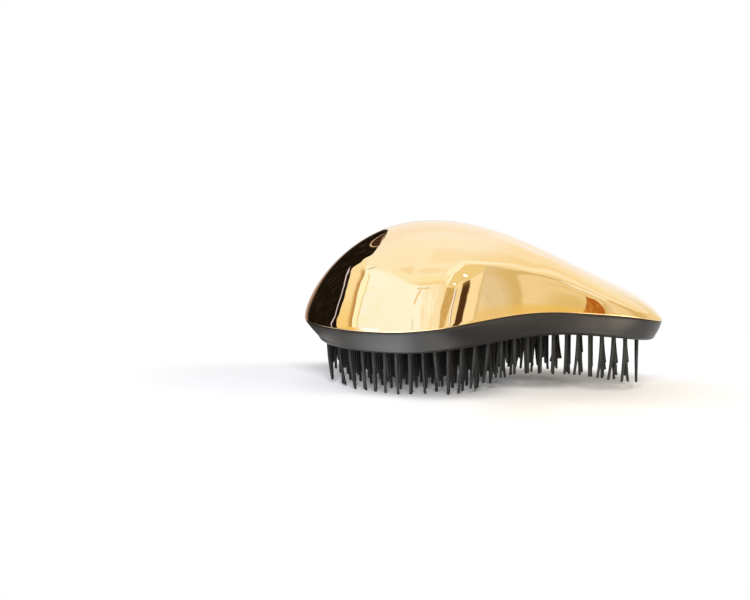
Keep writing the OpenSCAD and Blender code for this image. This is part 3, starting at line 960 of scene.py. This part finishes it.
def build_front_card():
    """An upright reflector close in front: pale at the head, with a tan strip, a dark upright and a bright corner."""
    def at(u, v):
        z = 12 + 110 * v
        right = float(np.interp(z, EDGE_Z, EDGE_X))
        return (-48 + (right + 48) * u, -65.0, z)
    card = card_mesh("front_card", at)
    m, n, xyz, (px, py, pz) = card_start("front_card")
    grain = n.noise(xyz, 520, 4, 0.7)
    mottle = n.sub(1.0, n.step(grain, 0.35, 0.65))

    colour = n.blend(px, [(-13, PALE), (-5, CREAM), (5, SAND), (12, GOLDEN)])
    # upright veins where the pale part turns gold
    veins = n.noise(n.scaled(xyz, 1.0, 1.0, 0.1), 330, 3, 0.65)
    zone = n.mul(n.between(px, -12, 5, 3), n.sub(1.0, n.step(pz, 48, 62)))
    colour = n.mix(n.mul(zone, n.mul(0.75, n.step(veins, 0.52, 0.68))), colour, seen(252, 212, 140))
    colour = n.mix(n.mul(zone, n.mul(0.8, n.sub(1.0, n.step(veins, 0.34, 0.48)))), colour, seen(255, 248, 204, 1.02))
    # the strokes of something far off: a tick with a stem, and a short upright below
    wobble = n.mul(3.0, n.sub(n.noise(xyz, 260, 3, 0.6), 0.5))
    stem = n.curve(pz, [(12, -18), (38, -18), (44, -17.8), (58, -13.2), (70, -11.7)], -19, -11)
    stroke = n.mul(n.between(n.add_(n.sub(px, stem), wobble), -0.8, 0.8, 0.5), n.between(pz, 42, 58, 2))
    colour = n.mix(n.mul(stroke, 0.75), colour, seen(236, 180, 96))
    tick = n.mul(n.between(px, -17.6, -5.0, 1.0), n.between(n.add_(pz, wobble), 56.8, 58.6, 0.6))
    colour = n.mix(n.mul(tick, 0.7), colour, seen(228, 176, 96))
    stub = n.mul(n.between(px, -19.0, -17.7, 0.5), n.between(pz, 20, 30, 1.5))
    colour = n.mix(n.mul(stub, 0.5), colour, seen(214, 176, 116))
    # tan strip
    left = n.curve(pz, [(12, 6), (35, 6), (45, 8), (57, 10), (70, 12)], 5, 13)
    right = n.curve(pz, [(12, 10), (25, 11), (35, 13), (45, 15), (57, 16), (70, 17)], 9, 18)
    strip = n.all_(n.step(n.sub(px, left), -0.7, 0.7), n.sub(1.0, n.step(n.sub(px, right), -0.5, 0.5)),
                   n.sub(1.0, n.step(pz, 56.5, 59.5)))
    colour = n.mix(strip, colour, n.mix(n.mul(mottle, 0.8), seen(216, 172, 98), seen(198, 148, 72)))
    # thin violet-grey line
    thin = n.curve(pz, [(12, 15), (35, 15), (44, 16), (55, 17), (60, 17.2)], 14, 18)
    thin_rows = n.mul(n.sub(1.0, n.step(pz, 54, 57)), n.step(pz, 16, 24))
    colour = n.mix(n.mul(n.between(n.sub(px, thin), -1.0, -0.3, 0.2), thin_rows), colour, seen(255, 240, 214))
    colour = n.mix(n.mul(n.between(n.sub(px, thin), -0.3, 0.3, 0.2), thin_rows), colour, seen(178, 146, 124))
    # dark upright
    d0 = n.curve(pz, [(12, 17.6), (24, 18.0), (35, 18.7), (48, 19.3), (64, 20.8), (80, 23)], 17, 24)
    d1 = n.curve(pz, [(12, 22.2), (23, 22.1), (34, 22.1), (48, 22.3), (71, 24), (80, 25.2)], 20, 26)
    bar_top = n.sub(pz, n.add_(60.0, n.mul(2.0, n.sub(px, 19.0))))
    bar = n.all_(n.step(n.sub(px, d0), -0.2, 0.2), n.sub(1.0, n.step(n.sub(px, d1), -0.35, 0.1)),
                 n.sub(1.0, n.step(bar_top, -0.8, 0.8)))
    ink = n.mix(n.step(bar_top, -7, -2), seen(84, 50, 20), seen(134, 92, 44))
    # pale strip and soft tan line right of it
    beyond = n.step(n.sub(px, d1), -0.2, 0.2)
    colour = n.mix(beyond, colour, seen(254, 220, 157))
    edge = n.curve(pz, list(zip(EDGE_Z, EDGE_X)), 24, 38)
    colour = n.mix(n.step(n.sub(px, edge), -0.9, -0.4), colour, seen(226, 190, 126))
    colour = n.mix(bar, colour, ink)
    # above the pale part
    line = n.curve(px, [(-49, 87), (-41.3, 78.1), (-32.9, 69.6), (-25.5, 63.8), (-15, 61), (-5, 62), (5, 64), (11, 61),
                        (37, 61)], 58, 88)
    above = n.div(n.sub(pz, line), n.add_(1.0, n.mul(2.2, n.sub(1.0, n.step(px, -30, -18)))))
    over = n.mul(n.step(above, -1.2, 1.2), n.sub(1.0, n.step(px, 10.5, 12.0)))
    gold = n.mix(n.step(px, -30, -10), seen(254, 231, 176), n.mix(n.step(n.sub(pz, line), 1, 7), seen(250, 210, 140),
                                                                  seen(253, 226, 164)))
    colour = n.mix(over, colour, gold)
    # bright corner
    hook0 = n.curve(pz, [(12, 11), (61, 11), (71, 14), (82, 17), (92, 22), (118, 30), (122, 31)], 10, 32)
    hook1 = n.curve(px, [(-49, 60), (12, 60), (16, 58), (19, 65), (23, 70), (25, 76), (29, 88), (33, 97), (37, 104)],
                    57, 105)
    gap = n.sub(px, hook0)
    upper = n.step(n.sub(pz, hook1), -0.6, 0.6)
    colour = n.mix(n.all_(n.between(gap, -2.2, 0.0, 0.35), n.step(pz, 60, 63)), colour, seen(255, 239, 192, 1.03))
    colour = n.mix(n.mul(n.step(gap, -0.3, 0.3), upper), colour,
                   n.mix(n.mul(mottle, 0.4), seen(242, 205, 130), seen(230, 188, 112)))
    rim = n.between(n.sub(pz, hook1), -1.6, -0.4, 0.5)
    colour = n.mix(n.all_(rim, n.step(px, 21, 24), n.sub(1.0, n.step(n.sub(px, edge), -1.2, -0.6))), colour,
                   seen(226, 186, 120))
    for lx, lz, wide, high in ((23, 78, 0.95, 3.0), (16, 63, 0.85, 1.35)):
        a, b = n.div(n.sub(px, lx), wide), n.div(n.sub(pz, lz), high)
        r = n.math("SQRT", n.add_(n.mul(a, a), n.mul(b, b)))
        colour = n.mix(n.sub(1.0, n.step(r, 0.6, 1.1)), colour, seen(255, 252, 244, 1.6))
    share = n.math("MAXIMUM", n.sub(1.0, n.step(n.sub(pz, line), 10, 18)),
                   n.mul(n.step(n.add_(gap, 2.3), -0.5, 0.5), n.sub(1.0, n.step(pz, 112, 121))))
    card_end(card, m, n, colour, share)


def build_canopy():
    """A ceiling panel over the front and right, with a curved border."""
    card = card_mesh("canopy", lambda u, v: (-45 + 295 * u, -112 + 242 * v, 110.0))
    m, n, xyz, (px, py, pz) = card_start("canopy")
    border = n.curve(px, [(-45, -62), (20, -62), (28, -61), (37, -59), (42, -60), (44.5, -52), (46.5, -40), (50, -30),
                          (56, -25), (66, -22), (81, -26), (120, -32), (220, -26), (250, -24)], -63, -21)
    side = n.sub(px, n.add_(28.0, n.mul(0.25, n.sub(-62.0, py))))
    out = n.math("MAXIMUM", n.sub(py, border), n.mul(side, -1.0))
    later = n.step(px, 28, 45)
    colour = n.blend(out, [(6, GOLDEN), (45, GOLDEN), (52, SAND), (100, SAND), (130, LIGHT)])
    to_left = n.mix(n.step(py, -40, -20), seen(252, 222, 168), seen(254, 228, 188))
    to_left = n.mix(n.step(py, -68, -54), CREAM, to_left)
    colour = n.mix(n.step(px, 12, 40), to_left, colour)
    middle = n.add_(6.0, n.mul(14.0, later))
    half = n.add_(5.0, n.mul(5.0, later))
    away = n.div(n.math("ABSOLUTE", n.sub(out, middle)), half)
    colour = n.mix(n.mul(n.sub(1.0, n.step(away, 0.55, 1.15)), n.step(px, 15, 27)), colour,
                   n.mix(n.step(px, 28, 42), seen(255, 238, 190), seen(255, 226, 174)))
    sx, sy = n.div(n.add_(px, 3.0), 24.0), n.div(n.add_(py, 84.0), 11.0)
    shade = n.sub(1.0, n.step(n.math("SQRT", n.add_(n.mul(sx, sx), n.mul(sy, sy))), 0.5, 1.15))
    colour = n.mix(n.mul(shade, 0.7), colour, seen(250, 214, 152))
    inner = n.blend(out, [(-8, seen(242, 205, 138)), (-1.5, seen(250, 215, 150))])
    colour = n.mix(n.sub(1.0, n.step(out, -0.6, 0.6)), colour, inner)
    colour = n.mix(n.all_(n.between(out, -0.8, 0.8, 0.35), n.step(px, 40, 43)), colour, seen(184, 142, 82))
    start = n.add_(-36.0, n.add_(n.mul(18.0, n.step(py, -68, -56)), n.mul(23.0, n.step(py, -32, -18))))
    open_ = n.sub(1.0, n.step(out, -1.4, -0.8))
    share = n.all_(n.step(n.sub(px, start), 0, 11), n.sub(1.0, n.step(py, 85, 130)), n.step(py, -112, -106),
                   n.sub(1.0, n.step(px, 225, 250)), n.sub(1.0, open_))
    card_end(card, m, n, colour, share)


def build_copper_card():
    """A small copper-brown panel in front of the tail."""
    def at(u, v):
        z = 20 + 72 * v
        left = 37 + 0.2 * (z - 29)
        right = float(np.interp(z, [20, 29, 36, 92], [67, 66, 60, 60]))
        return (left + (right - left) * u, -65.0, z)
    card = card_mesh("copper_card", at, 8, 32)
    m, n, xyz, (px, py, pz) = card_start("copper_card")
    streaks = n.step(n.noise(n.scaled(xyz, 1.0, 1.0, 0.12), 420, 3, 0.6), 0.35, 0.68)
    left = n.sub(1.0, n.step(px, 40, 47))
    colour = n.mix(n.add_(n.mul(streaks, 0.75), n.mul(left, 0.25)), seen(168, 84, 18), seen(206, 128, 50))
    card_end(card, m, n, n.mix(n.step(px, 59, 61), colour, seen(226, 178, 104)))


def build_floor_card():
    """The floor as the mirror and the satin band see it, a glowing stand-in: a painted shadow dark under the brush,
    painted light bright round it.
    """
    card = card_mesh("floor_card", lambda u, v: (-260 + 520 * u, -260 + 520 * v, 0.3), 40, 40)
    m, n, xyz, (px, py, pz) = card_start("floor_card")
    # painted shadow under the brush's footprint
    a, b = n.div(px, 78.0), n.div(py, 38.0)
    foot = n.math("SQRT", n.add_(n.mul(a, a), n.mul(b, b)))
    under = n.sub(1.0, n.step(foot, 0.72, 1.0))
    colour = n.mix(under, NEUTRAL, (0.22, 0.21, 0.20))
    # painted light and shade close in front, which the band's wall mirrors: bright at the head and the tail end, dark
    # at the waist
    glow = n.curve(px, [(-95, 0.3), (-80, 0.55), (-62, 1.4), (-47.5, 2.8), (-36, 3.5), (-29.4, 4.0), (-23, 2.8), (-17.5, 1.9),
                        (-12, 1.6), (-5.7, 2.0), (0, 2.4), (5.3, 1.3), (11, 0.1), (28, 0.05), (33.5, 1.2), (39.5, 2.3),
                        (56, 2.0), (62, 2.8), (66, 3.4), (80, 3.4)], 0.0, 4.5)
    near = n.mix(n.step(px, -10, 30), (1.0, 1.0, 1.0), (1.1, 0.95, 0.8))
    near = n.mix(1.0, near, n.grey(glow), "MULTIPLY")
    colour = n.mix(n.between(py, -66, -31, 3), colour, near)
    # what the shell's rolled edge mirrors
    seam_light = n.mix(n.step(px, -12, 14), seen(255, 250, 238, 1.1), seen(252, 198, 92))
    seam_light = n.mix(n.step(px, -95, -60), seen(252, 196, 96), seam_light)
    colour = n.mix(n.sub(1.0, n.step(py, -74, -66)), colour, seam_light)
    beside = n.all_(n.sub(1.0, n.step(px, -92, -76)), n.between(py, -120, 100, 12))
    colour = n.mix(beside, colour, (0.15, 0.145, 0.135))
    outside = n.all_(n.sub(1.0, n.step(px, -125, -104)), n.between(py, -200, 150, 12))
    colour = n.mix(outside, colour, seen(30, 20, 12))
    far = n.math("SQRT", n.add_(n.mul(px, px), n.mul(py, py)))
    card_end(card, m, n, colour, n.sub(1.0, n.step(far, 125, 150)))


build_front_card()
build_canopy()
build_copper_card()
build_floor_card()


def area_light(name, place, target, size, power, colour, glossy=False):
    data = bpy.data.lights.new(name, "AREA")
    data.shape = "RECTANGLE"
    data.size, data.size_y = size
    data.energy = power
    data.color = colour
    lamp = bpy.data.objects.new(name, data)
    bpy.context.scene.collection.objects.link(lamp)
    lamp.location = place
    lamp.rotation_euler = (Vector(target) - Vector(place)).to_track_quat("-Z", "Y").to_euler()
    lamp.visible_glossy = glossy
    lamp.visible_camera = False
    return lamp


area_light("softbox", (0.12, -0.86, 0.5), (0.0, 0.0, 0.0), (0.5, 0.18), 13.2, (1.0, 0.985, 0.965))


# ---------------------------------------------------------------------------
# Camera
# ---------------------------------------------------------------------------
def build_camera():
    distance, azimuth, height, origin_x, focal, middle, horizon = 410.0, math.radians(7.0), 73.3, 479.6, 1040.0, 375.0, 199.0
    place = np.array([distance * math.sin(azimuth), -distance * math.cos(azimuth), height])
    pitch = math.atan((300.0 - horizon) / focal)
    flat = -place[:2] / np.linalg.norm(place[:2])
    turn = math.atan((origin_x - middle) / focal)
    c, s = math.cos(turn), math.sin(turn)
    way = (c * flat[0] - s * flat[1], s * flat[0] + c * flat[1])
    ahead = Vector((way[0] * math.cos(pitch), way[1] * math.cos(pitch), -math.sin(pitch)))
    right = Vector((way[1], -way[0], 0.0))
    up = right.cross(ahead)
    data = bpy.data.cameras.new("camera")
    data.sensor_fit = "HORIZONTAL"
    data.sensor_width = 36.0
    data.lens = focal * 36.0 / 750.0
    data.clip_start, data.clip_end = 0.01, 100.0
    camera = bpy.data.objects.new("camera", data)
    bpy.context.scene.collection.objects.link(camera)
    rotation = Matrix((right, up, -ahead)).transposed()
    camera.matrix_world = Matrix.Translation(Vector(place) * MM) @ rotation.to_4x4()
    bpy.context.scene.camera = camera


build_camera()

view = bpy.context.scene.view_settings
view.view_transform = "Standard"
view.look = "None"
view.exposure = 0.0
view.gamma = 1.0
